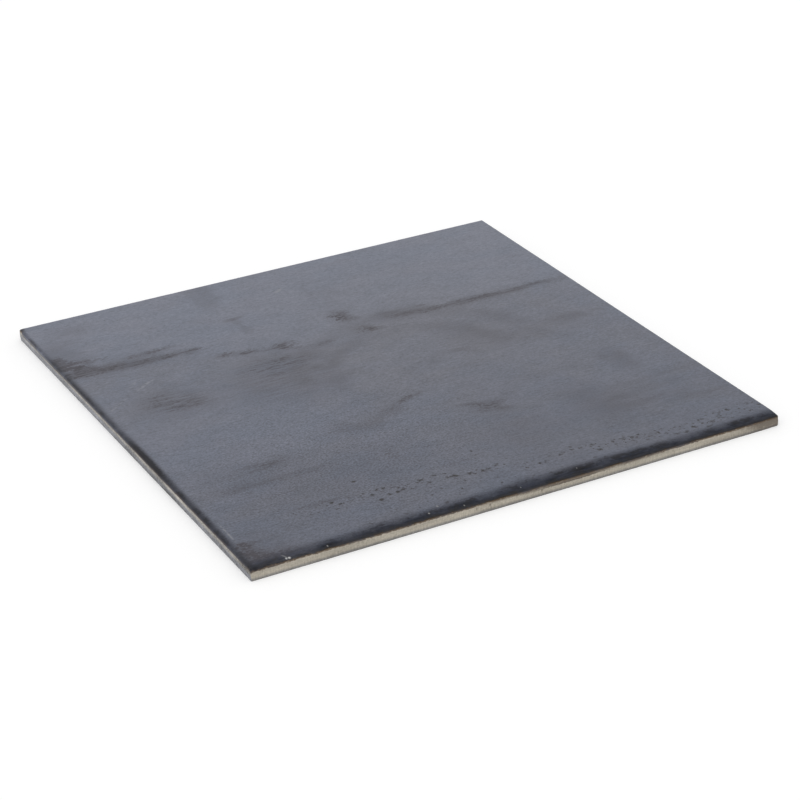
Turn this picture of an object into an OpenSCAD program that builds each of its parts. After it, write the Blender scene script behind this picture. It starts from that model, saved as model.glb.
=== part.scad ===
// Square blank of hot-rolled steel plate, cut from wider stock on a guillotine shear.
// The origin is at the middle of the underside. X is the rolling direction and Z is up.
// Each shear cut has a roll-over, a burnished land and a torn zone that leans in below it.
// Opposite cuts are the same section turned over: the front and left cuts roll over at the top,
// the back and right cuts at the underside.

/* [Plate] */
// Length along the rolling direction
plate_l = 200; // [80:1:1000]
// Width across the rolling direction
plate_w = 200; // [80:1:1000]
// Thickness of the rolled stock
plate_t = 4.5; // [3.2:0.1:12]
// Radius that handling has worn on the four upright corners
corner_r = 0.8; // [0.2:0.1:5]

/* [Front and back cuts] */
// Width of the strip that the blade dragged down before it bit
front_sag_w = 6; // [2:0.5:15]
// How far that strip has sunk where it reaches the cut
front_sag_d = 0.6; // [0.1:0.05:1.2]
// Radius where the sunken strip turns down into the cut face
front_lip_r = 0.7; // [0.2:0.05:1.2]
// Height of the torn zone above the far face
front_tear_h = 0.9; // [0.3:0.1:1.5]
// How far the torn zone leans in, from the clearance between the blades
front_tear_lean = 0.2; // [0.05:0.05:0.8]

/* [Left and right cuts] */
// Width of the strip that the blade dragged down before it bit
side_sag_w = 2; // [1.5:0.5:15]
// How far that strip has sunk where it reaches the cut
side_sag_d = 0.3; // [0.1:0.05:0.6]
// Radius where the sunken strip turns down into the cut face
side_lip_r = 0.5; // [0.2:0.05:1]
// Height of the torn zone above the far face
side_tear_h = 2; // [0.3:0.1:2.2]
// How far the torn zone leans in, from the clearance between the blades
side_tear_lean = 0.25; // [0.05:0.05:0.8]

/* [Hidden] */
// How far a cutting shape runs past what it cuts
overrun = 1;
// Blue-grey of the mill scale
scale_colour = [0.45, 0.46, 0.49];
$fn = 96;

// Radius of the arc that leaves a face flush and has sunk by d at the distance w
function sag_radius(w, d) = (w * w + d * d) / (2 * d);

// Height of the lip's centre: the lip touches the sag arc from inside and the cut face
function lip_level(w, r, sag_r) = sqrt(pow(sag_r - r, 2) - pow(w - r, 2)) - sag_r;

// Where the sag arc hands over to the lip, as a distance from the cut face
function lip_reach(w, r, sag_r) = w - (w - r) * sag_r / (sag_r - r);

// What the roll-over takes away, with the metal right of x = 0 and below y = 0
module roll_over(w, d, r) {
    sag_r = sag_radius(w, d);
    lip_y = lip_level(w, r, sag_r);
    difference() {
        translate([-overrun, -d]) square([w + overrun, d + overrun]);
        translate([w, -sag_r]) circle(r = sag_r);
    }
    difference() {
        translate([-overrun, lip_y]) square([lip_reach(w, r, sag_r) + overrun, overrun - lip_y]);
        translate([r, lip_y]) circle(r = r);
    }
}

// What the torn zone takes away from the foot of the same cut
module tear(h, lean) {
    polygon([
        [0, h - plate_t],
        [lean, -plate_t],
        [lean, -plate_t - overrun],
        [-overrun, -plate_t - overrun],
        [-overrun, h - plate_t]
    ]);
}

// Section of the plate between two opposite cuts, the second one turned over
module sheared_section(span, sag_w, sag_d, lip_r, tear_h, tear_lean) {
    difference() {
        square([span, plate_t], center = true);
        for (turn = [0, 180]) rotate(turn) translate([-span / 2, plate_t / 2]) {
            roll_over(sag_w, sag_d, lip_r);
            tear(tear_h, tear_lean);
        }
    }
}

// Plan of the plate with its corners worn round
module worn_plan() {
    difference() {
        square([plate_l, plate_w], center = true);
        for (sx = [-1, 1], sy = [-1, 1]) translate([sx * plate_l / 2, sy * plate_w / 2]) {
            difference() {
                square(2 * corner_r, center = true);
                translate([-sx * corner_r, -sy * corner_r]) circle(r = corner_r);
            }
        }
    }
}

// The blank: what the two pairs of cuts and the worn plan have in common
module plate() {
    color(scale_colour) translate([0, 0, plate_t / 2]) intersection() {
        linear_extrude(plate_t + 2 * overrun, center = true) worn_plan();
        rotate([90, 0, 0]) linear_extrude(plate_w + 2 * overrun, center = true)
            sheared_section(plate_l, side_sag_w, side_sag_d, side_lip_r, side_tear_h, side_tear_lean);
        rotate([90, 0, 90]) linear_extrude(plate_l + 2 * overrun, center = true)
            sheared_section(plate_w, front_sag_w, front_sag_d, front_lip_r, front_tear_h, front_tear_lean);
    }
}

plate();
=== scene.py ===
import math

import bmesh
import bpy
from mathutils import Matrix, Vector, noise


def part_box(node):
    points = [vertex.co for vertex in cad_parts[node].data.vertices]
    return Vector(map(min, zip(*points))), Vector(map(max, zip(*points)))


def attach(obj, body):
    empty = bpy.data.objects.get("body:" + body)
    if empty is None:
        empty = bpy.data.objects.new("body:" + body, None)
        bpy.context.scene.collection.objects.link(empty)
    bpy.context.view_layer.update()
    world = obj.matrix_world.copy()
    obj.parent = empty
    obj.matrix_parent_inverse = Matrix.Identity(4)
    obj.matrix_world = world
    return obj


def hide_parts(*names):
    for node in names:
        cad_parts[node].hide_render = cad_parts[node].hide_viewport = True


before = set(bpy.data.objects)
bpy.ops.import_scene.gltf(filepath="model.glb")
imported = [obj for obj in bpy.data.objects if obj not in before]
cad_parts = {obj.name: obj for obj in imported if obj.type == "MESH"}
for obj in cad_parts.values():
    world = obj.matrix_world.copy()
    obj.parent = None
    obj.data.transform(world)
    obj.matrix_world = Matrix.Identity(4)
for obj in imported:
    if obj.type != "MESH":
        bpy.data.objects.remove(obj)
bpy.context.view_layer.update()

# The plate is a square blank of hot-rolled mild steel, guillotined from wider stock.
# Both faces keep the blue-grey mill scale of the rolling mill. The four cut faces are bare
# steel: the blade first dragged the face down, then burnished a land, then tore the rest.
MM = 0.001
low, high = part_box("plate")
plate_length, plate_width, thickness = high - low

# Lines of the mesh beside a cut, in millimetres from it, then even lines across the plate
CUT_LINES = [0, 0.05, 0.14, 0.28, 0.5, 0.8, 1.2, 1.7, 2.3, 3.0, 3.8, 4.8, 6.0, 7.5]
EVEN_LINES = 166
TEAR_ROWS = 4
LAND_ROWS = 6
ROWS = TEAR_ROWS + LAND_ROWS
CORNER_RADIUS = 0.3 * MM
LEAN_FADE = 3 * MM
WAVE_LENGTH = 38 * MM
WAVE_HEIGHT = 0.05 * MM
WAVE_SEED = 7.5
TORN_GRAIN = 1.3 * MM
TORN_DEPTH = 0.08 * MM
SHARP_ANGLE = math.radians(40)
# How far the zones of a cut swing along its length, as shares of their size
SAG_SWING = 0.15
LIP_SWING = 0.12
TEAR_SLOW_SWING = 0.3
TEAR_FINE_SWING = 0.15


class ShearCut:
    """One guillotine cut, with its roll-over at the top face or at the underside."""

    def __init__(self, seed, sag_width, sag_depth, lip_radius, tear_height, tear_lean, swell):
        self.seed = seed
        self.sag_width = sag_width
        self.sag_depth = sag_depth
        self.lip_radius = lip_radius
        self.tear_height = tear_height
        self.tear_lean = tear_lean
        self.swell = swell

    def waver(self, along, length):
        """Slow unevenness along the cut, about -1 to 1."""
        return noise.noise((along / length, self.seed, 0))

    def fall(self, reach, along, share):
        """How far the face has sunk at a distance from the cut: a long arc, then a tight lip."""
        swell = self.swell(share)
        width = self.sag_width * swell * (1 + SAG_SWING * self.waver(along, 11 * MM))
        depth = self.sag_depth * swell * (1 + SAG_SWING * self.waver(along, 5 * MM))
        radius = self.lip_radius * (1 + LIP_SWING * self.waver(along, 2.5 * MM))
        if reach >= width:
            return 0
        arc = (width**2 + depth**2) / (2 * depth)
        handover = width - (width - radius) * arc / (arc - radius)
        if reach >= handover:
            return arc - math.sqrt(arc**2 - (width - reach)**2)
        lip_level = math.sqrt((arc - radius)**2 - (width - radius)**2) - arc
        return -lip_level - math.sqrt(radius**2 - (radius - reach)**2)

    def tear(self, along):
        """Height of the torn zone above the far face."""
        slow = TEAR_SLOW_SWING * self.waver(along, 9 * MM)
        fine = TEAR_FINE_SWING * self.waver(along, 2 * MM)
        return self.tear_height * (1 + slow + fine)

    def row_height(self, row, along, near_level):
        """Height of a mesh row above the far face, for a cut face that ends at near_level."""
        tear = self.tear(along)
        if row <= TEAR_ROWS:
            return tear * row / TEAR_ROWS
        return tear + (near_level - tear) * (row - TEAR_ROWS) / LAND_ROWS

    def lean(self, height, reach, along):
        """How far a point leans in from the cut's plane, by its height above the far face."""
        foot = max(0, 1 - height / self.tear(along)) * max(0, 1 - reach / LEAN_FADE)
        grain = noise.noise((along / TORN_GRAIN, height / TORN_GRAIN, self.seed))
        return foot * self.tear_lean + min(1, 3 * foot) * TORN_DEPTH * (1 + grain) / 2


def front_swell(share):
    """The front roll-over is widest a little right of the middle."""
    return 0.97 + 0.2 * math.exp(-((share - 0.58) / 0.15) ** 2)


def left_swell(share):
    """The left roll-over is wide in its front half and shrinks behind the middle."""
    return 0.8 + 0.45 / (1 + math.exp((share - 0.6) / 0.05))


def right_swell(share):
    """The right roll-over, at the underside, is deepest at the front corner, which is bent up."""
    return 1 + 1.8 * math.exp(-((share / 0.08) ** 2))


def back_swell(share):
    """The back roll-over, at the underside, is slight at the left corner."""
    return 1 - 0.75 * math.exp(-((share / 0.06) ** 2))


# The front and back cuts have a long sag and a low tear, the left and right ones the reverse
FRONT_AND_BACK = {
    "sag_width": 6 * MM,
    "sag_depth": 0.6 * MM,
    "lip_radius": 0.7 * MM,
    "tear_height": 0.9 * MM,
    "tear_lean": 0.2 * MM,
}
LEFT_AND_RIGHT = {
    "sag_width": 2 * MM,
    "sag_depth": 0.3 * MM,
    "lip_radius": 0.5 * MM,
    "tear_height": 2 * MM,
    "tear_lean": 0.25 * MM,
}
front = ShearCut(seed=1.5, swell=front_swell, **FRONT_AND_BACK)
back = ShearCut(seed=2.5, swell=back_swell, **FRONT_AND_BACK)
left = ShearCut(seed=3.5, swell=left_swell, **LEFT_AND_RIGHT)
right = ShearCut(seed=4.5, swell=right_swell, **LEFT_AND_RIGHT)


def mesh_lines(start, length):
    """Places of the mesh lines across the plate, from one cut to the other."""
    near = [line * MM for line in CUT_LINES]
    step = (length - 2 * near[-1]) / EVEN_LINES
    middle = [near[-1] + step * count for count in range(1, EVEN_LINES)]
    far = [length - line for line in reversed(near)]
    return [start + line for line in near + middle + far]


def worst_of(first, second):
    """Where two roll-overs meet at a corner, the deeper one wins, with a soft change."""
    return (first**3 + second**3) ** (1 / 3)


lines_x = mesh_lines(low.x, plate_length)
lines_y = mesh_lines(low.y, plate_width)
counts = (len(lines_x) - 1, len(lines_y) - 1, ROWS)

# The finish reads three values from the mesh: how far a point lies past the lip of its cut, whether
# a face is a left or right cut, and how deep the metal has sunk there
bm = bmesh.new()
past_lip = bm.loops.layers.float.new("past_lip")
side_cut = bm.faces.layers.float.new("side_cut")
sunk = bm.verts.layers.float.new("sunk")
bmesh.ops.create_cube(bm, size=1)
bmesh.ops.translate(bm, vec=(0.5, 0.5, 0.5), verts=bm.verts)
for axis, count in enumerate(counts):
    along_axis = [e for e in bm.edges if abs(e.verts[0].co[axis] - e.verts[1].co[axis]) > 0.5]
    bmesh.ops.subdivide_edges(bm, edges=along_axis, cuts=count - 1)

bm.normal_update()
bm.verts.index_update()
cut_of_face = {}
for face in bm.faces:
    if abs(face.normal.z) < 0.5:
        x_cut = left if face.normal.x < 0 else right
        y_cut = front if face.normal.y < 0 else back
        cut_of_face[face] = x_cut if abs(face.normal.x) > 0.5 else y_cut

rims = []
for vert in bm.verts:
    step_x, step_y, row = (round(vert.co[axis] * counts[axis]) for axis in range(3))
    x, y = lines_x[step_x], lines_y[step_y]
    share_x, share_y = (x - low.x) / plate_length, (y - low.y) / plate_width
    to_left, to_right, to_front, to_back = x - low.x, high.x - x, y - low.y, high.y - y
    fall_top = worst_of(front.fall(to_front, x, share_x), left.fall(to_left, y, share_y))
    fall_under = worst_of(back.fall(to_back, x, share_x), right.fall(to_right, y, share_y))
    wave = WAVE_HEIGHT * noise.noise((x / WAVE_LENGTH, y / WAVE_LENGTH, WAVE_SEED))
    top = high.z - fall_top + wave
    under = low.z + fall_under
    rims.append((top, under, min(to_left, to_front), min(to_right, to_back)))

    # Rows of the cut faces: a corner's rows lie between those of its two cuts
    heights = []
    if step_x == 0:
        heights.append(low.z + left.row_height(row, y, top - low.z))
    if step_y == 0:
        heights.append(low.z + front.row_height(row, x, top - low.z))
    if step_x == counts[0]:
        heights.append(high.z - right.row_height(ROWS - row, y, high.z - under))
    if step_y == counts[1]:
        heights.append(high.z - back.row_height(ROWS - row, x, high.z - under))
    z = sum(heights) / len(heights) if heights else 0
    if row == ROWS:
        z = top
    if row == 0:
        z = under
    # A whole cut face counts as sunk as deep as its lip
    if row == ROWS or row > 0 and (step_x == 0 or step_y == 0):
        vert[sunk] = fall_top / front.sag_depth
    else:
        vert[sunk] = fall_under / back.sag_depth

    x_in = left.lean(z - low.z, to_left, y) - right.lean(high.z - z, to_right, y)
    y_in = front.lean(z - low.z, to_front, x) - back.lean(high.z - z, to_back, x)

    # Handling has worn the upright corners round
    over_x = max(0, abs(x) - (plate_length / 2 - CORNER_RADIUS))
    over_y = max(0, abs(y) - (plate_width / 2 - CORNER_RADIUS))
    if over_x and over_y:
        trim = 1 - max(over_x, over_y) / math.hypot(over_x, over_y)
        x -= math.copysign(over_x * trim, x)
        y -= math.copysign(over_y * trim, y)
    vert.co = (x + x_in, y + y_in, z)

for face in bm.faces:
    face.smooth = True
    cut = cut_of_face.get(face)
    face[side_cut] = 1 if cut in (left, right) else 0
    for loop in face.loops:
        top, under, to_top_lip, to_under_lip = rims[loop.vert.index]
        if cut in (front, left):
            loop[past_lip] = top - loop.vert.co.z
        elif cut in (back, right):
            loop[past_lip] = loop.vert.co.z - under
        elif face.normal.z > 0:
            loop[past_lip] = -to_top_lip
        else:
            loop[past_lip] = -to_under_lip

plate_mesh = bpy.data.meshes.new("sheared_plate")
bm.to_mesh(plate_mesh)
bm.free()
plate_mesh.set_sharp_from_angle(angle=SHARP_ANGLE)
sheared_plate = bpy.data.objects.new("sheared_plate", plate_mesh)
bpy.context.scene.collection.objects.link(sheared_plate)

# The finish: blue-grey mill scale with water marks, dragged dirt and rolled-in pits on the faces,
# and bare steel on the cuts, all in one material. Painted shade darkens the rolled edges, the lips
# and the torn feet of the cuts, and painted glints sit on the front lip. Under its dark lip a cut is
# a tan burnished land with a grey torn foot, and the left and right cuts are greyer and coarser.
SCALE_COOL = (0.186, 0.204, 0.259)
SCALE_LILAC = (0.197, 0.205, 0.252)
SCALE_OLIVE = (0.196, 0.203, 0.243)
STAIN_BROWN = (0.054, 0.043, 0.047)
# Blue-black of the rolled edges, partly painted shade
ROLLED_BLUE_AND_SHADE = (0.062, 0.070, 0.102)
WORN_GREY = (0.125, 0.12, 0.115)
# Painted shade for the lips
LIP_SHADE_BLACK = (0.026, 0.026, 0.033)
PIT_DARK = (0.040, 0.034, 0.030)
# Painted glint colour
PAINTED_GLINT = (0.75, 0.75, 0.74)
SCRATCH_LIGHT = (0.34, 0.35, 0.38)
LAND_TAN = (0.41, 0.375, 0.315)
# Grey of the torn foot, partly painted shade
TORN_GREY_AND_SHADE = (0.23, 0.225, 0.212)
SIDE_GREY = (0.242, 0.248, 0.275)
EDGE_BROWN = (0.12, 0.098, 0.08)
LIP_RUST = (0.13, 0.09, 0.058)
# How much dirt may pile up, and how far dirt, tints and pits cover the scale
DIRT_MOST = 1.3
DIRT_COVERS = 0.58
TINT_COVERS = 0.34
STAIN_MOST = 0.8
PIT_COVERS = 0.84
NICK_COVERS = 0.8
# How much lighter clean scale is
CLEAN_LIGHTER = 0.07
# Cells of the small pits and the pin holes, in millimetres
SMALL_PIT_CELL = 2.4
PIN_HOLE_CELL = 1.4
PIN_HOLE_STRENGTH = 0.7
# Gloss: dirt hides the metal and dulls it, and a bare cut is a little duller than the scale
METAL_SHARE = 0.82
DIRT_HIDES = 0.5
SMOOTHEST = 0.27
ROUGHEST = 0.37
DIRT_DULLS = 0.25
CUT_DULLS = 0.06
# Fine relief of the scale's grain, its pits and the lines that the blade drew
RELIEF_DEPTH = 0.06 * MM
RELIEF_STRENGTH = 0.6
GRAIN_RELIEF = 0.3
PIT_RELIEF = 0.8
LINE_RELIEF = 0.8

steel = bpy.data.materials.new("mill_scale_steel")
steel.use_nodes = True
nodes, links = steel.node_tree.nodes, steel.node_tree.links
finish = nodes["Principled BSDF"]


def feed(socket, value):
    """Links a socket to another node's output, or sets it to a plain value."""
    if isinstance(value, bpy.types.NodeSocket):
        links.new(value, socket)
    elif isinstance(value, tuple) and socket.type == "RGBA":
        socket.default_value = (*value, 1)
    else:
        socket.default_value = value


def calc(operation, *values, clamp=False):
    """One step of arithmetic on numbers or patterns."""
    node = nodes.new("ShaderNodeMath")
    node.operation = operation
    node.use_clamp = clamp
    for socket, value in zip(node.inputs, values):
        feed(socket, value)
    return node.outputs[0]


def times(first, second, clamp=False):
    return calc("MULTIPLY", first, second, clamp=clamp)


def plus(first, second, clamp=False):
    return calc("ADD", first, second, clamp=clamp)


def minus(first, second):
    return calc("SUBTRACT", first, second)


def vector_calc(operation, *values):
    """One step of arithmetic on places."""
    node = nodes.new("ShaderNodeVectorMath")
    node.operation = operation
    for socket, value in zip(node.inputs, values):
        feed(socket, value)
    return node.outputs["Value" if operation in ("LENGTH", "DOT_PRODUCT") else "Vector"]


def ramp(value, start, end, from_start=0.0, to_end=1.0):
    """A smooth step from one level to another while value goes from start to end."""
    node = nodes.new("ShaderNodeMapRange")
    node.interpolation_type = "SMOOTHSTEP"
    for name, given in (("Value", value), ("From Min", start), ("From Max", end),
                        ("To Min", from_start), ("To Max", to_end)):
        feed(node.inputs[name], given)
    return node.outputs["Result"]


def coat(share, under_colour, over_colour):
    """Lays one colour over another by a share."""
    node = nodes.new("ShaderNodeMix")
    node.data_type = "RGBA"
    feed(node.inputs["Factor"], share)
    feed(node.inputs[6], under_colour)
    feed(node.inputs[7], over_colour)
    return node.outputs[2]


def dim(colour, share):
    """A colour made lighter or darker by a share."""
    node = nodes.new("ShaderNodeHueSaturation")
    feed(node.inputs["Color"], colour)
    feed(node.inputs["Value"], share)
    return node.outputs["Color"]


def swing(value, amount):
    """How far a noise stands from its middle, times an amount."""
    return times(minus(value, 0.5), amount)


def mottle(size, detail, rough, seed):
    """Soft random variation about 0.5, with patches of a size in millimetres along X, Y and Z."""
    place = nodes.new("ShaderNodeMapping")
    place.vector_type = "TEXTURE"
    feed(place.inputs["Vector"], metal_point)
    place.inputs["Location"].default_value = (seed, seed, seed)
    place.inputs["Scale"].default_value = [side * MM for side in size]
    node = nodes.new("ShaderNodeTexNoise")
    feed(node.inputs["Vector"], place.outputs["Vector"])
    node.inputs["Scale"].default_value = 1
    node.inputs["Detail"].default_value = detail
    node.inputs["Roughness"].default_value = rough
    return node


def attribute(name):
    """A value that the mesh carries."""
    node = nodes.new("ShaderNodeAttribute")
    node.attribute_name = name
    return node.outputs["Fac"]


metal_point = nodes.new("ShaderNodeTexCoord").outputs["Object"]
split_point = nodes.new("ShaderNodeSeparateXYZ")
feed(split_point.inputs[0], metal_point)
on_top = ramp(split_point.outputs["Z"], 0.4 * thickness, 0.6 * thickness)

# Patterns of the scale, from rolling streaks and broad clouds down to single specks
streaks = mottle((7, 0.55, 0.5), 3, 0.65, 0.11).outputs["Fac"]
hatch = mottle((13, 1.4, 0.8), 2, 0.6, 0.17).outputs["Fac"]
clouds = mottle((22, 15, 3), 4, 0.55, 0.23)
patches = mottle((9, 5, 2), 4, 0.6, 0.31).outputs["Fac"]
specks = mottle((1.7, 1.1, 0.9), 3, 0.65, 0.37).outputs["Fac"]
ragged = mottle((1.1, 1.1, 0.6), 4, 0.65, 0.53).outputs["Fac"]
grain = mottle((0.8, 0.6, 0.5), 3, 0.65, 0.41).outputs["Fac"]


def speckled(least, most):
    """A share that goes from one level to another with the specks."""
    return ramp(specks, 0.40, 0.60, least, most)


# Marks are placed by shares of the plate: 0 at the left and front cuts, 1 at the right and back
flat_share = vector_calc(
    "MULTIPLY_ADD",
    metal_point,
    (1 / plate_length, 1 / plate_width, 0),
    (-low.x / plate_length, -low.y / plate_width, 0),
)


class MarkField:
    """Places on the plate in shares, shifted by patterns so that outlines come out uneven."""

    def __init__(self, shift_across, shift_deep):
        shift = nodes.new("ShaderNodeCombineXYZ")
        feed(shift.inputs["X"], shift_across)
        feed(shift.inputs["Y"], shift_deep)
        self.places = vector_calc("ADD", flat_share, shift.outputs["Vector"])
        self.turned_places = {}

    def turned(self, turn):
        """The places along axes turned by some degrees, made once for each angle."""
        if turn == 0:
            return self.places
        if turn not in self.turned_places:
            cosine, sine = math.cos(math.radians(turn)), math.sin(math.radians(turn))
            node = nodes.new("ShaderNodeCombineXYZ")
            feed(node.inputs["X"], vector_calc("DOT_PRODUCT", self.places, (cosine, sine, 0)))
            feed(node.inputs["Y"], vector_calc("DOT_PRODUCT", self.places, (-sine, cosine, 0)))
            self.turned_places[turn] = node.outputs["Vector"]
        return self.turned_places[turn]

    def from_middle(self, across, deep, half_length, half_width, turn):
        """Places seen from a mark's middle, in units of its half length and half width."""
        middle = Matrix.Rotation(-math.radians(turn), 2) @ Vector((across, deep))
        scale = (1 / half_length, 1 / half_width, 0)
        shift = (-middle.x / half_length, -middle.y / half_width, 0)
        return vector_calc("MULTIPLY_ADD", self.turned(turn), scale, shift)

    def oval(self, across, deep, half_length, half_width, turn, strength):
        """A mark that is strongest in its core and fades to an oval outline."""
        away = vector_calc("LENGTH", self.from_middle(across, deep, half_length, half_width, turn))
        return ramp(away, 0.1, 1.0, strength, 0.0)

    def bar(self, across, deep, half_length, half_width, turn, strength):
        """A mark of even width and strength with blunt ends."""
        place = self.from_middle(across, deep, half_length, half_width, turn)
        away = vector_calc("LENGTH", vector_calc("MULTIPLY", place, place))
        return ramp(away, 0.1, 1.0, strength, 0.0)

    def ring(self, across, deep, radius, half_width, strength):
        """The back half of a ring, as a wet round thing leaves where it stood."""
        place = self.from_middle(across, deep, radius, radius, 0)
        off_line = calc("ABSOLUTE", minus(vector_calc("LENGTH", place), 1.0))
        line = ramp(off_line, 0.0, half_width / radius, strength, 0.0)
        split_place = nodes.new("ShaderNodeSeparateXYZ")
        feed(split_place.inputs[0], place)
        return times(line, ramp(split_place.outputs["Y"], -0.2, 0.4))


def total(shape, rows):
    """All the marks of a list added up."""
    sum_so_far = 0.0
    for row in rows:
        sum_so_far = plus(sum_so_far, shape(*row))
    return sum_so_far


# Dragged dirt has the most uneven outlines, seeped water and pits softer ones, placed marks none
dragged = MarkField(
    plus(swing(patches, 0.080), swing(specks, 0.070)),
    plus(swing(clouds.outputs["Fac"], 0.020), swing(ragged, 0.030)),
)
seeped = MarkField(swing(patches, 0.050), swing(clouds.outputs["Fac"], 0.030))
pitted = MarkField(swing(ragged, 0.020), swing(specks, 0.012))
placed = MarkField(0.0, 0.0)

# Each mark gives across, deep, half length, half width, turn in degrees and strength.
# The tide line: dirt that water left across the whole plate, with knots at the left cut
TIDE_LINE = [
    (0.105, 0.757, 0.160, 0.034, 0, 0.30),
    (0.075, 0.761, 0.110, 0.019, 0, 0.42),
    (0.157, 0.750, 0.125, 0.018, 0, 0.50),
    (0.215, 0.746, 0.070, 0.014, 0, 0.40),
    (0.252, 0.751, 0.036, 0.010, 0, 0.66),
    (0.172, 0.783, 0.068, 0.010, 0, 0.90),
    (0.040, 0.780, 0.050, 0.022, 0, 0.95),
    (0.036, 0.790, 0.026, 0.014, 0, 1.00),
    (0.045, 0.757, 0.044, 0.014, 0, 0.70),
    (0.017, 0.769, 0.034, 0.016, 0, 0.65),
    (0.006, 0.822, 0.036, 0.036, 0, 1.70),
    (0.014, 0.804, 0.028, 0.020, 0, 1.40),
    (0.046, 0.811, 0.022, 0.010, 0, 0.80),
    (0.069, 0.801, 0.028, 0.010, 0, 0.70),
    (0.289, 0.702, 0.036, 0.011, 0, 0.90),
    (0.330, 0.690, 0.038, 0.012, -6, 0.95),
    (0.363, 0.680, 0.016, 0.010, 0, 0.50),
    (0.396, 0.683, 0.034, 0.020, 20, 1.30),
    (0.415, 0.663, 0.018, 0.010, 0, 0.40),
    (0.450, 0.655, 0.018, 0.011, 20, 0.45),
    (0.470, 0.656, 0.020, 0.011, 20, 0.50),
    (0.610, 0.705, 0.040, 0.016, -6, 0.28),
    (0.633, 0.688, 0.050, 0.013, -6, 0.34),
    (0.650, 0.700, 0.080, 0.028, -6, 0.14),
    (0.684, 0.707, 0.020, 0.009, 0, 0.50),
    (0.675, 0.685, 0.056, 0.017, -6, 0.36),
    (0.703, 0.682, 0.026, 0.017, 0, 0.46),
    (0.736, 0.683, 0.044, 0.015, 0, 0.42),
    (0.780, 0.680, 0.115, 0.019, 0, 0.54),
    (0.855, 0.675, 0.130, 0.018, 0, 0.56),
    (0.935, 0.674, 0.090, 0.015, 0, 0.44),
]
# Solid dirt: two knots by the tide line, a hook and a spot in front of them, thin streaks, the
# soiled front left corner and, last, a wide faint smudge beside it
SOLID_DIRT = [
    (0.538, 0.746, 0.024, 0.036, 0, 0.66),
    (0.535, 0.732, 0.016, 0.022, 0, 0.40),
    (0.556, 0.724, 0.030, 0.014, 0, 0.44),
    (0.556, 0.667, 0.040, 0.024, 0, 0.50),
    (0.556, 0.664, 0.018, 0.016, 0, 0.46),
    (0.584, 0.661, 0.030, 0.012, 0, 0.40),
    (0.675, 0.501, 0.046, 0.010, 0, 0.26),
    (0.911, 0.522, 0.064, 0.024, 0, 0.34),
    (0.342, 0.343, 0.034, 0.042, 0, 0.30),
    (0.378, 0.325, 0.066, 0.032, 0, 0.30),
    (0.425, 0.348, 0.052, 0.026, 20, 0.34),
    (0.458, 0.368, 0.048, 0.016, 20, 0.40),
    (0.494, 0.381, 0.040, 0.013, 20, 0.66),
    (0.596, 0.284, 0.044, 0.032, -20, 0.66),
    (0.562, 0.304, 0.036, 0.014, -20, 0.48),
    (0.083, 0.236, 0.028, 0.014, 0, 0.36),
    (0.369, 0.217, 0.010, 0.036, 0, 0.56),
    (0.190, 0.128, 0.090, 0.005, 0, 0.60),
    (0.150, 0.190, 0.080, 0.004, 0, 0.36),
    (0.440, 0.135, 0.060, 0.004, 0, 0.36),
    (0.027, 0.070, 0.030, 0.014, 0, 0.66),
    (0.014, 0.030, 0.056, 0.070, 0, 1.10),
    (0.055, 0.014, 0.090, 0.040, 0, 1.00),
    (0.260, 0.190, 0.240, 0.150, 0, 0.16),
]
# Dirt that was dragged along the rolling direction and lies in streaks
STREAKED_DIRT = [
    (0.128, 0.575, 0.100, 0.080, 0, 0.34),
    (0.125, 0.580, 0.070, 0.018, 0, 0.30),
    (0.152, 0.556, 0.064, 0.016, 0, 0.28),
    (0.110, 0.606, 0.056, 0.016, 0, 0.26),
    (0.360, 0.625, 0.130, 0.060, 0, 0.34),
    (0.330, 0.550, 0.160, 0.120, 0, 0.28),
    (0.144, 0.289, 0.120, 0.040, 0, 0.24),
    (0.165, 0.289, 0.050, 0.018, 0, 0.26),
    (0.122, 0.239, 0.110, 0.024, 0, 0.32),
    (0.205, 0.235, 0.070, 0.014, 0, 0.26),
    (0.895, 0.232, 0.180, 0.014, 0, 0.14),
    (0.860, 0.196, 0.160, 0.016, 0, 0.13),
    (0.870, 0.161, 0.140, 0.018, 0, 0.26),
    (0.925, 0.136, 0.120, 0.016, 0, 0.24),
]
# Soft tints where water seeped and dried: both left corners, a halo along the tide line, the left
# arc of a ring, a dark bow beside the rings, and broad smudges towards the front
SEEPED_TINTS = [
    (0.026, 0.850, 0.075, 0.110, 0, 0.60),
    (0.080, 0.945, 0.070, 0.028, -6, 0.36),
    (0.110, 0.765, 0.170, 0.050, 0, 0.26),
    (0.340, 0.690, 0.090, 0.035, -6, 0.20),
    (0.445, 0.578, 0.034, 0.026, 0, 0.24),
    (0.475, 0.602, 0.036, 0.024, 0, 0.26),
    (0.508, 0.620, 0.036, 0.022, 0, 0.22),
    (0.545, 0.735, 0.050, 0.070, 0, 0.24),
    (0.640, 0.698, 0.110, 0.045, -6, 0.20),
    (0.820, 0.677, 0.170, 0.034, 0, 0.20),
    (0.365, 0.615, 0.160, 0.080, 0, 0.12),
    (0.330, 0.540, 0.180, 0.150, 0, 0.10),
    (0.128, 0.575, 0.120, 0.100, 0, 0.10),
    (0.715, 0.545, 0.130, 0.080, -50, 0.38),
    (0.800, 0.589, 0.085, 0.040, -50, 0.30),
    (0.850, 0.500, 0.150, 0.065, 0, 0.28),
    (0.860, 0.345, 0.012, 0.024, 0, 0.40),
    (0.895, 0.318, 0.026, 0.060, 0, 0.30),
    (0.598, 0.280, 0.085, 0.065, 0, 0.24),
    (0.594, 0.185, 0.150, 0.105, 0, 0.38),
    (0.767, 0.180, 0.095, 0.095, 0, 0.62),
    (0.745, 0.250, 0.070, 0.050, 0, 0.34),
    (0.040, 0.050, 0.090, 0.080, 0, 0.36),
    (0.890, 0.190, 0.140, 0.070, 0, 0.12),
    (0.130, 0.265, 0.120, 0.070, 0, 0.18),
]
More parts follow.
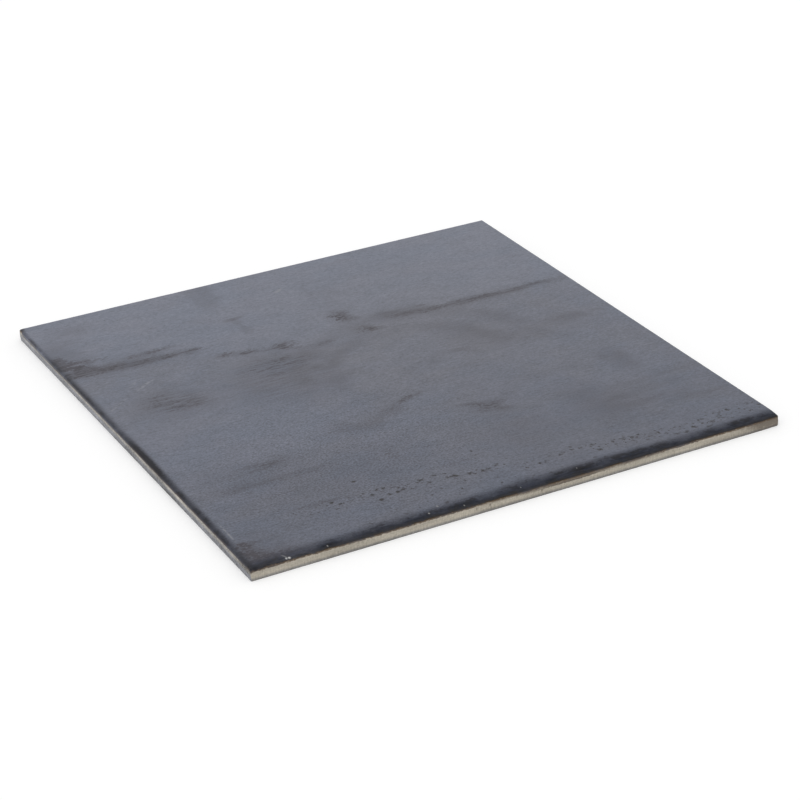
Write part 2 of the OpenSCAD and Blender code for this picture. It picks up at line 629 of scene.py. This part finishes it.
# Stains with plain borders: water that ran in from the back cut, the first band with a T at its
# end, and a drop at the right
WATER_BANDS = [
    (0.353, 0.960, 0.034, 0.085, 0, 0.42),
    (0.361, 0.836, 0.027, 0.010, 0, 0.80),
    (0.361, 0.802, 0.010, 0.046, 0, 0.44),
    (0.564, 0.850, 0.040, 0.090, 0, 0.14),
    (0.532, 0.855, 0.008, 0.080, -6, 0.26),
    (0.882, 0.327, 0.030, 0.054, 0, 0.36),
]
# Rings give across, deep, radius, half width and strength
RINGS = [
    (0.578, 0.467, 0.170, 0.032, 0.30),
    (0.586, 0.460, 0.237, 0.036, 0.26),
    (0.636, 0.452, 0.055, 0.016, 0.30),
]
# Chains of pits where loose scale was rolled in, most of them along the front cut. The last one
# is a wide field of pin holes at the left of the front.
PIT_CHAINS = [
    (0.200, 0.112, 0.090, 0.018, 0, 0.26),
    (0.330, 0.105, 0.100, 0.018, -6, 0.34),
    (0.475, 0.086, 0.090, 0.018, -6, 0.34),
    (0.600, 0.074, 0.090, 0.016, 0, 0.30),
    (0.735, 0.056, 0.090, 0.018, -6, 0.40),
    (0.850, 0.044, 0.090, 0.020, 0, 0.40),
    (0.945, 0.052, 0.080, 0.026, 0, 0.36),
    (0.550, 0.050, 0.420, 0.030, 0, 0.14),
    (0.280, 0.230, 0.340, 0.210, 0, 0.09),
]
# The larger pits, one by one from left to right
LARGE_PITS = [
    (0.226, 0.031, 0.0035, 0.0070, 0, 0.80),
    (0.244, 0.073, 0.0035, 0.0100, 20, 0.45),
    (0.265, 0.165, 0.0065, 0.0045, -20, 1.00),
    (0.276, 0.089, 0.0080, 0.0055, -20, 0.90),
    (0.289, 0.029, 0.0055, 0.0065, 0, 0.65),
    (0.312, 0.115, 0.0080, 0.0035, 0, 0.55),
    (0.317, 0.033, 0.0045, 0.0055, 0, 0.55),
    (0.322, 0.100, 0.0090, 0.0045, 0, 0.90),
    (0.338, 0.095, 0.0090, 0.0035, 0, 0.65),
    (0.361, 0.113, 0.0070, 0.0065, -20, 1.10),
    (0.362, 0.027, 0.0065, 0.0065, -20, 0.65),
    (0.388, 0.116, 0.0080, 0.0045, 0, 0.80),
    (0.399, 0.201, 0.0035, 0.0035, 0, 0.70),
    (0.407, 0.112, 0.0090, 0.0035, 0, 0.70),
    (0.407, 0.054, 0.0035, 0.0055, 0, 0.90),
    (0.417, 0.096, 0.0110, 0.0055, -20, 1.10),
    (0.423, 0.075, 0.0045, 0.0055, 0, 0.70),
    (0.443, 0.091, 0.0080, 0.0055, 20, 0.80),
    (0.466, 0.088, 0.0070, 0.0055, 0, 1.10),
    (0.471, 0.038, 0.0055, 0.0055, -20, 0.70),
    (0.476, 0.057, 0.0045, 0.0045, -20, 0.55),
    (0.478, 0.090, 0.0065, 0.0045, 0, 0.80),
    (0.482, 0.141, 0.0035, 0.0035, 0, 0.65),
    (0.484, 0.156, 0.0035, 0.0045, 0, 0.80),
    (0.493, 0.093, 0.0055, 0.0045, 0, 0.70),
    (0.521, 0.080, 0.0040, 0.0030, 0, 0.55),
    (0.559, 0.025, 0.0050, 0.0055, 0, 0.50),
    (0.572, 0.064, 0.0055, 0.0050, 0, 0.65),
    (0.604, 0.069, 0.0080, 0.0050, 20, 0.70),
    (0.629, 0.075, 0.0070, 0.0050, 0, 0.80),
    (0.638, 0.011, 0.0050, 0.0055, 0, 0.55),
    (0.644, 0.072, 0.0065, 0.0050, 0, 0.70),
    (0.649, 0.032, 0.0050, 0.0050, 0, 0.50),
    (0.658, 0.075, 0.0050, 0.0040, 0, 0.55),
    (0.664, 0.026, 0.0050, 0.0050, 0, 0.55),
    (0.668, 0.071, 0.0050, 0.0050, 0, 0.65),
    (0.723, 0.065, 0.0110, 0.0065, 0, 0.55),
    (0.738, 0.064, 0.0070, 0.0050, -20, 0.50),
    (0.747, 0.055, 0.0080, 0.0050, 0, 0.60),
    (0.768, 0.024, 0.0055, 0.0050, 0, 0.35),
    (0.770, 0.048, 0.0095, 0.0050, 0, 0.55),
    (0.797, 0.043, 0.0080, 0.0050, 0, 0.50),
    (0.812, 0.031, 0.0095, 0.0050, -20, 0.60),
    (0.830, 0.029, 0.0095, 0.0050, 20, 0.70),
    (0.852, 0.035, 0.0070, 0.0065, 0, 0.60),
    (0.874, 0.026, 0.0095, 0.0050, 0, 0.60),
    (0.878, 0.053, 0.0080, 0.0050, 0, 0.55),
    (0.888, 0.037, 0.0065, 0.0070, 0, 0.75),
    (0.911, 0.041, 0.0095, 0.0055, -20, 0.55),
    (0.917, 0.058, 0.0070, 0.0055, 0, 0.55),
    (0.926, 0.031, 0.0070, 0.0050, 0, 0.50),
    (0.936, 0.059, 0.0070, 0.0050, 0, 0.55),
    (0.978, 0.061, 0.0070, 0.0065, 0, 0.45),
]
# Bright scratches, most of them short and slanting near the left cut
SCRATCHES = [
    (0.107, 0.663, 0.034, 0.0040, 35, 0.50),
    (0.095, 0.680, 0.030, 0.0050, 35, 0.28),
    (0.124, 0.672, 0.022, 0.0036, 35, 0.30),
    (0.027, 0.607, 0.032, 0.0034, 35, 0.36),
    (0.050, 0.625, 0.026, 0.0034, 35, 0.24),
    (0.490, 0.905, 0.018, 0.0080, 35, 0.45),
    (0.0165, 0.120, 0.0026, 0.050, 0, 0.90),
]
# Painted glints where the scale has flaked off the front lip and bare metal shows
PAINTED_GLINTS = [
    (0.0635, 0.0110, 0.0020, 0.0090, 35, 0.26),
    (0.064, 0.0050, 0.0026, 0.0036, 0, 0.8),
    (0.0690, 0.0045, 0.0036, 0.0036, 0, 1.1),
    (0.136, 0.0060, 0.0018, 0.0030, 0, 0.9),
    (0.321, 0.0120, 0.0024, 0.0030, 0, 1.0),
    (0.343, 0.0240, 0.0030, 0.0040, 0, 0.35),
    (0.383, 0.0070, 0.0016, 0.0028, 0, 0.8),
    (0.491, 0.0110, 0.0016, 0.0024, 0, 0.7),
    (0.603, 0.0180, 0.0016, 0.0024, 0, 0.6),
]
# Nicks in the land of the front cut
NICKS = [
    (0.402, 0.0, 0.0020, 0.1, 0, 0.8),
    (0.427, 0.0, 0.0024, 0.1, 0, 1.0),
    (0.525, 0.0, 0.0030, 0.1, 0, 1.0),
    (0.782, 0.0, 0.0018, 0.1, 0, 0.6),
]
# Black painted shade along the lip, where it curves down: the left cut and its corners
SHADED_LIPS = [
    (0.000, 0.420, 0.060, 0.130, 0, 1.00),
    (0.000, 0.220, 0.060, 0.330, 0, 0.60),
    (0.000, 0.680, 0.060, 0.240, 0, 0.60),
    (0.000, 1.000, 0.016, 0.024, 0, 0.90),
    (0.020, 0.000, 0.090, 0.080, 0, 0.60),
]

solid = speckled(0.35, 1.65)
drawn_out = plus(times(hatch, 0.35), times(streaks, 0.65))
streaked = times(ramp(drawn_out, 0.44, 0.56, 0.2, 1.8), speckled(0.5, 1.5))
tide_dirt = calc("MINIMUM", total(dragged.oval, TIDE_LINE), DIRT_MOST)
tide_dirt = times(tide_dirt, ramp(streaked, 0.1, 1.9, 0.5, 1.5))
solid_dirt = times(total(dragged.oval, SOLID_DIRT), solid)
streaked_dirt = times(total(dragged.oval, STREAKED_DIRT), streaked)
rough_dirt = plus(tide_dirt, plus(solid_dirt, streaked_dirt))
rough_dirt = calc("MINIMUM", rough_dirt, DIRT_MOST)
soft_dirt = plus(total(seeped.oval, SEEPED_TINTS), total(seeped.bar, WATER_BANDS))
soft_dirt = plus(soft_dirt, total(seeped.ring, RINGS))
soft_dirt = times(soft_dirt, speckled(0.75, 1.25))
stain = plus(times(rough_dirt, DIRT_COVERS), times(soft_dirt, TINT_COVERS))
stain = times(calc("MINIMUM", stain, STAIN_MOST), on_top)

# Water stood in front of the tide line, so the scale behind it is cleaner and bluer
split_share = nodes.new("ShaderNodeSeparateXYZ")
feed(split_share.inputs[0], dragged.places)
tide = nodes.new("ShaderNodeFloatCurve")
tide_curve = tide.mapping.curves[0]
tide_curve.points[0].location = (0.0, 0.755)
tide_curve.points[1].location = (1.0, 0.685)
for across, deep in ((0.24, 0.755), (0.29, 0.70), (0.45, 0.665), (0.55, 0.70), (0.75, 0.68)):
    tide_curve.points.new(across, deep)
tide.mapping.update()
feed(tide.inputs["Value"], split_share.outputs["X"])
behind_tide = ramp(minus(split_share.outputs["Y"], tide.outputs["Value"]), -0.02, 0.03)

split_clouds = nodes.new("ShaderNodeSeparateColor")
feed(split_clouds.inputs[0], clouds.outputs["Color"])
clean = seeped.oval(0.110, 0.410, 0.360, 0.190, 0, 1.0)
scale_colour = coat(ramp(split_clouds.outputs[0], 0.38, 0.62, 0.0, 0.6), SCALE_COOL, SCALE_LILAC)
olive = ramp(split_clouds.outputs[1], 0.42, 0.6, 0.0, 0.5)
olive = times(olive, minus(1.0, behind_tide))
olive = plus(olive, seeped.oval(0.640, 0.600, 0.400, 0.400, 0, 0.7), clamp=True)
olive = times(olive, minus(1.0, clean))
scale_colour = coat(olive, scale_colour, SCALE_OLIVE)
tone = plus(1.0, times(behind_tide, CLEAN_LIGHTER))
tone = plus(tone, times(clean, CLEAN_LIGHTER))
for pattern, amount in ((clouds.outputs["Fac"], 0.12), (patches, 0.35), (specks, 0.8),
                        (streaks, 0.45)):
    tone = plus(tone, swing(pattern, amount))
coarse = plus(0.6, seeped.oval(0.270, 0.230, 0.450, 0.360, 0, 1.1))
tone = plus(tone, times(swing(grain, 1.4), coarse))
scale_colour = dim(scale_colour, tone)
scale_colour = coat(stain, scale_colour, STAIN_BROWN)

# The rolled edges are blue-black scale, darkened with painted shade the deeper the metal has sunk
past = attribute("past_lip")
on_side = attribute("side_cut")
roll_depth = calc("SQRT", attribute("sunk"))
roll_mottle = plus(1.0, plus(swing(patches, 2.8), swing(specks, 1.6)))
rolled_and_shaded = ramp(times(roll_depth, roll_mottle), 0.0, 0.8, 0.0, 0.95)
roll_tone = plus(1.0, plus(swing(specks, 2.4), swing(streaks, 1.6)))
scale_colour = coat(rolled_and_shaded, scale_colour, dim(ROLLED_BLUE_AND_SHADE, roll_tone))
roll_dirt = plus(patches, swing(specks, 0.9))
roll_dirt = times(ramp(roll_dirt, 0.50, 0.64, 0.0, 0.6), ramp(roll_depth, 0.12, 0.5))
scale_colour = coat(roll_dirt, scale_colour, PIT_DARK)
# The front and back lips are worn grey, the left and right ones are not
split_flat = nodes.new("ShaderNodeSeparateXYZ")
feed(split_flat.inputs[0], flat_share)
from_middle_line = calc("ABSOLUTE", minus(split_flat.outputs["Y"], 0.5))
front_or_back = ramp(from_middle_line, 0.48, 0.49)
worn = ramp(plus(past, swing(specks, 2 * MM)), -1.8 * MM, -0.2 * MM, 0.0, 0.5)
scale_colour = coat(times(worn, front_or_back), scale_colour, WORN_GREY)
# Black painted shade along the lips of the left cut and at its corners
lip_shade_line = ramp(plus(past, swing(specks, 1.6 * MM)), -3.4 * MM, -0.8 * MM)
lip_shade = times(lip_shade_line, total(placed.oval, SHADED_LIPS), clamp=True)
scale_colour = coat(lip_shade, scale_colour, LIP_SHADE_BLACK)


def spots(cell, seed, chains):
    """Round spots of many sizes, one to a cell, and more of them the stronger the chain is there."""
    scale = (1 / (cell * MM), 1 / (cell * MM), 0)
    place = vector_calc("MULTIPLY_ADD", metal_point, scale, (seed, seed, 0))
    wobble = nodes.new("ShaderNodeCombineXYZ")
    feed(wobble.inputs["X"], swing(ragged, 1.2))
    feed(wobble.inputs["Y"], swing(specks, 0.8))
    cells = nodes.new("ShaderNodeTexVoronoi")
    cells.voronoi_dimensions = "2D"
    cells.inputs["Scale"].default_value = 1
    feed(cells.inputs["Vector"], vector_calc("ADD", place, wobble.outputs["Vector"]))
    chance = nodes.new("ShaderNodeSeparateColor")
    feed(chance.inputs[0], cells.outputs["Color"])
    radius = ramp(chance.outputs[0], 0.0, 1.0, 0.16, 0.42)
    spot = ramp(calc("DIVIDE", cells.outputs["Distance"], radius), 0.4, 1.0, 1.0, 0.0)
    return times(spot, ramp(minus(chains, chance.outputs[1]), 0.0, 0.2))


pit_chains = times(total(dragged.bar, PIT_CHAINS), on_top)
pin_holes = times(spots(PIN_HOLE_CELL, 5.9, pit_chains), PIN_HOLE_STRENGTH)
small_pits = calc("MAXIMUM", spots(SMALL_PIT_CELL, 3.7, pit_chains), pin_holes)
large_pits = times(total(pitted.oval, LARGE_PITS), on_top)
pits = calc("MAXIMUM", small_pits, ramp(large_pits, 0.0, 0.9))
scale_colour = coat(times(pits, PIT_COVERS), scale_colour, PIT_DARK)
scratches = times(total(placed.oval, SCRATCHES), on_top, clamp=True)
scratches = times(scratches, ramp(specks, 0.35, 0.55))
scale_colour = coat(scratches, scale_colour, SCRATCH_LIGHT)
# Painted glints, weaker below the lip
painted_glints = times(total(placed.oval, PAINTED_GLINTS), ramp(past, 0.0, 0.8 * MM, 1.0, 0.2))
painted_glints = times(painted_glints, on_top, clamp=True)

# Bare steel of the cut: drawn down in fine lines on the land, grainy where it tore, and grey
# with painted shade on the torn foot that leans in
lines = mottle((0.35, 0.35, 4), 3, 0.7, 0.67).outputs["Fac"]
torn_grain = mottle((0.9, 0.9, 0.4), 3, 0.7, 0.71).outputs["Fac"]
past_ragged = plus(swing(ragged, 1.0 * MM), swing(patches, 0.7 * MM))
past_ragged = times(past_ragged, ramp(front_or_back, 0.0, 1.0, 0.25, 1.0))
past_ragged = plus(past, past_ragged)
# On the left and right cuts the scale is drawn down over the lip, further towards the back
side_drop = ramp(split_flat.outputs["Y"], 0.3, 1.2, 0.05 * MM, 1.1 * MM)
side_drop = times(side_drop, minus(1.0, front_or_back))
past_ragged = minus(past_ragged, side_drop)
bare = ramp(past_ragged, -0.05 * MM, 0.12 * MM)
torn_past = plus(past, swing(torn_grain, 1.2 * MM))
# The torn foot turns grey, partly painted shade
cut_colour = coat(ramp(torn_past, 1.7 * MM, 2.9 * MM), LAND_TAN, TORN_GREY_AND_SHADE)
side_grey = times(on_side, ramp(torn_past, 0.9 * MM, 1.8 * MM, 0.3, 1.0))
cut_colour = coat(side_grey, cut_colour, SIDE_GREY)
cut_tone = minus(1.0, times(on_side, 0.14))
for pattern, amount in ((lines, 1.2), (torn_grain, 1.1), (clouds.outputs["Fac"], 0.9)):
    cut_tone = plus(cut_tone, swing(pattern, amount))
side_blots = swing(patches, 1.4)
for pattern, amount in ((clouds.outputs["Fac"], 1.0), (torn_grain, 1.6)):
    side_blots = plus(side_blots, swing(pattern, amount))
side_dark = placed.oval(0.0, 0.36, 0.1, 0.22, 0, 0.36)
side_dark = times(side_dark, ramp(torn_past, 0.8 * MM, 2.8 * MM))
side_dark = minus(side_dark, ramp(split_flat.outputs["Y"], 0.45, 0.75, 0.0, 0.08))
side_blots = times(on_side, minus(side_blots, side_dark))
cut_colour = dim(cut_colour, plus(cut_tone, side_blots))
# A second, thinner line where the blade bit twice runs under the lip right of the middle
from_bite = calc("ABSOLUTE", minus(past_ragged, 0.5 * MM))
bite = ramp(from_bite, 0.2 * MM, 0.42 * MM, 0.95, 0.0)
bite = times(bite, placed.bar(0.585, 0.0, 0.090, 0.1, 0, 1.0))
brown_strip = ramp(past_ragged, 0.25 * MM, 0.9 * MM, 0.66, 0.0)
brown_strip = times(brown_strip, placed.bar(0.580, 0.0, 0.220, 0.1, 0, 1.0))
bite = calc("MAXIMUM", bite, brown_strip)
nick_height = ramp(past, 0.2 * MM, 0.5 * MM)
nick_height = times(nick_height, ramp(past_ragged, 1.0 * MM, 1.8 * MM, 1.0, 0.0))
nicks = times(times(total(placed.oval, NICKS), nick_height), NICK_COVERS)
cut_colour = coat(calc("MAXIMUM", bite, nicks), cut_colour, EDGE_BROWN)
# The right end of the front cut is stained brown, first under its lip
end_share = plus(split_share.outputs["X"], swing(torn_grain, 0.10))
end_share = minus(end_share, times(past, 0.01 / MM))
end_brown = ramp(end_share, 0.780, 0.880, 0.0, 0.16)
end_brown = plus(end_brown, ramp(end_share, 0.900, 0.960, 0.0, 0.64))
end_brown = times(end_brown, ramp(on_side, 0.0, 1.0, 1.0, 0.25))
cut_colour = coat(end_brown, cut_colour, EDGE_BROWN)
# A thin line of rust follows the lip
lip_line = ramp(past_ragged, -0.4 * MM, 0.0)
lip_line = times(lip_line, ramp(past_ragged, 0.0, 0.3 * MM, 1.0, 0.0))
lip_line = times(lip_line, ramp(patches, 0.4, 0.6, 0.5, 0.9))
lip_line = times(lip_line, ramp(front_or_back, 0.0, 1.0, 0.4, 1.0))
steel_colour = coat(bare, scale_colour, cut_colour)
steel_colour = coat(lip_line, steel_colour, LIP_RUST)
steel_colour = coat(painted_glints, steel_colour, PAINTED_GLINT)

roughness = ramp(grain, 0.2, 0.8, SMOOTHEST, ROUGHEST)
roughness = plus(roughness, times(stain, DIRT_DULLS))
roughness = plus(roughness, times(bare, CUT_DULLS))
metal = minus(METAL_SHARE, times(stain, DIRT_HIDES))
relief = minus(times(grain, GRAIN_RELIEF), times(small_pits, PIT_RELIEF))
relief = plus(relief, times(bare, times(lines, LINE_RELIEF)))

bump = nodes.new("ShaderNodeBump")
bump.inputs["Strength"].default_value = RELIEF_STRENGTH
bump.inputs["Distance"].default_value = RELIEF_DEPTH
feed(bump.inputs["Height"], relief)
feed(finish.inputs["Base Color"], steel_colour)
feed(finish.inputs["Metallic"], metal)
feed(finish.inputs["Roughness"], roughness)
feed(finish.inputs["Normal"], bump.outputs["Normal"])

plate_mesh.materials.append(steel)
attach(sheared_plate, "root")
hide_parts("plate")

# The floor is a pale, matt sheet under the plate. It takes the plate's shadow, and the part
# of it that no shadow reaches is white to the camera and in reflections.
FLOOR_SIZE = 60
FLOOR_PALE = 0.8
FLOOR_GLOW = 0.25
floor_mesh = bpy.data.meshes.new("floor")
bm = bmesh.new()
bmesh.ops.create_grid(bm, x_segments=1, y_segments=1, size=FLOOR_SIZE / 2)
bmesh.ops.translate(bm, vec=(0, 0, low.z), verts=bm.verts)
bm.to_mesh(floor_mesh)
bm.free()
floor = bpy.data.objects.new("floor", floor_mesh)
bpy.context.scene.collection.objects.link(floor)
floor_paint = bpy.data.materials.new("floor_paint")
floor_paint.use_nodes = True
nodes, links = floor_paint.node_tree.nodes, floor_paint.node_tree.links
paint = nodes["Principled BSDF"]
paint.inputs["Base Color"].default_value = (FLOOR_PALE, FLOOR_PALE, FLOOR_PALE, 1)
paint.inputs["Roughness"].default_value = 1
paint.inputs["Specular IOR Level"].default_value = 0
paint.inputs["Emission Color"].default_value = (1, 1, 1, 1)


def seen_ray():
    """1 for rays that show the studio: straight to the camera, in a reflection or through glass."""
    path = nodes.new("ShaderNodeLightPath")
    direct = calc("MAXIMUM", path.outputs["Is Camera Ray"], path.outputs["Is Glossy Ray"])
    return calc("MAXIMUM", direct, path.outputs["Is Transmission Ray"])


feed(paint.inputs["Emission Strength"], times(seen_ray(), FLOOR_GLOW))
floor_mesh.materials.append(floor_paint)

# The studio is white near the floor and dimmer overhead, as a low white backdrop looks in
# metal. A wide soft lamp from above and the white room light the plate at a plain level.
ROOM_LIGHT = 0.6
LAMP_LIGHT = 1.3
LAMP_SPREAD = math.radians(70)
LAMP_TURN = (math.radians(25), math.radians(-20), 0)
# The wall fades between two heights, given as sines, and it reaches higher to the photo's left
WALL_FADE_START = math.sin(math.radians(22))
WALL_FADE_END = math.sin(math.radians(40))
WALL_DIM = 0.15
WALL_RISE = 0.21
TOWARDS_LEFT = (-0.882, 0.471, 0)
CEILING_START = math.sin(math.radians(60))
CEILING_LIGHT = 0.4
world = bpy.data.worlds.new("studio")
bpy.context.scene.world = world
world.use_nodes = True
nodes, links = world.node_tree.nodes, world.node_tree.links
backdrop = nodes["Background"]
direction = nodes.new("ShaderNodeSeparateXYZ")
sky_point = nodes.new("ShaderNodeTexCoord").outputs["Generated"]
feed(direction.inputs[0], sky_point)
leftward = vector_calc("DOT_PRODUCT", sky_point, TOWARDS_LEFT)
wall_height = minus(direction.outputs["Z"], times(leftward, WALL_RISE))
wall = ramp(wall_height, WALL_FADE_START, WALL_FADE_END, 1.0, WALL_DIM)
ceiling = ramp(direction.outputs["Z"], CEILING_START, 1.0, 0.0, CEILING_LIGHT)
shown = plus(wall, ceiling)
seen = seen_ray()
lit = times(minus(1.0, seen), ROOM_LIGHT)
feed(backdrop.inputs["Strength"], plus(times(seen, shown), lit))
backdrop.inputs["Color"].default_value = (1, 1, 1, 1)

lamp_data = bpy.data.lights.new("soft_lamp", "SUN")
lamp_data.energy = LAMP_LIGHT
lamp_data.angle = LAMP_SPREAD
lamp = bpy.data.objects.new("soft_lamp", lamp_data)
lamp.rotation_euler = LAMP_TURN
lamp.visible_glossy = False
bpy.context.scene.collection.objects.link(lamp)

# The camera stands where the photograph was taken from, low over the front left corner. Its place
# and lens were fitted to the corners of the plate.
VIEW_AZIMUTH = math.radians(-28.072)
VIEW_ELEVATION = math.radians(27.179)
VIEW_ROLL = math.radians(-1.345)
VIEW_DISTANCE = 4.194 * plate_length
VIEW_TARGET = Vector((-0.009 * plate_length, -0.080 * plate_width, low.z))
VIEW_LENS = 107.1
VIEW_SENSOR = 36
back_axis = Vector((
    math.sin(VIEW_AZIMUTH) * math.cos(VIEW_ELEVATION),
    -math.cos(VIEW_AZIMUTH) * math.cos(VIEW_ELEVATION),
    math.sin(VIEW_ELEVATION),
))
level_axis = Vector((math.cos(VIEW_AZIMUTH), math.sin(VIEW_AZIMUTH), 0))
rise_axis = back_axis.cross(level_axis)
right_axis = level_axis * math.cos(VIEW_ROLL) + rise_axis * math.sin(VIEW_ROLL)
up_axis = rise_axis * math.cos(VIEW_ROLL) - level_axis * math.sin(VIEW_ROLL)
camera_data = bpy.data.cameras.new("camera")
camera_data.lens = VIEW_LENS
camera_data.sensor_width = VIEW_SENSOR
camera = bpy.data.objects.new("camera", camera_data)
camera.matrix_world = (
    Matrix.Translation(VIEW_TARGET + back_axis * VIEW_DISTANCE)
    @ Matrix((right_axis, up_axis, back_axis)).transposed().to_4x4()
)
bpy.context.scene.collection.objects.link(camera)
bpy.context.scene.camera = camera
bpy.context.scene.view_settings.view_transform = "Standard"
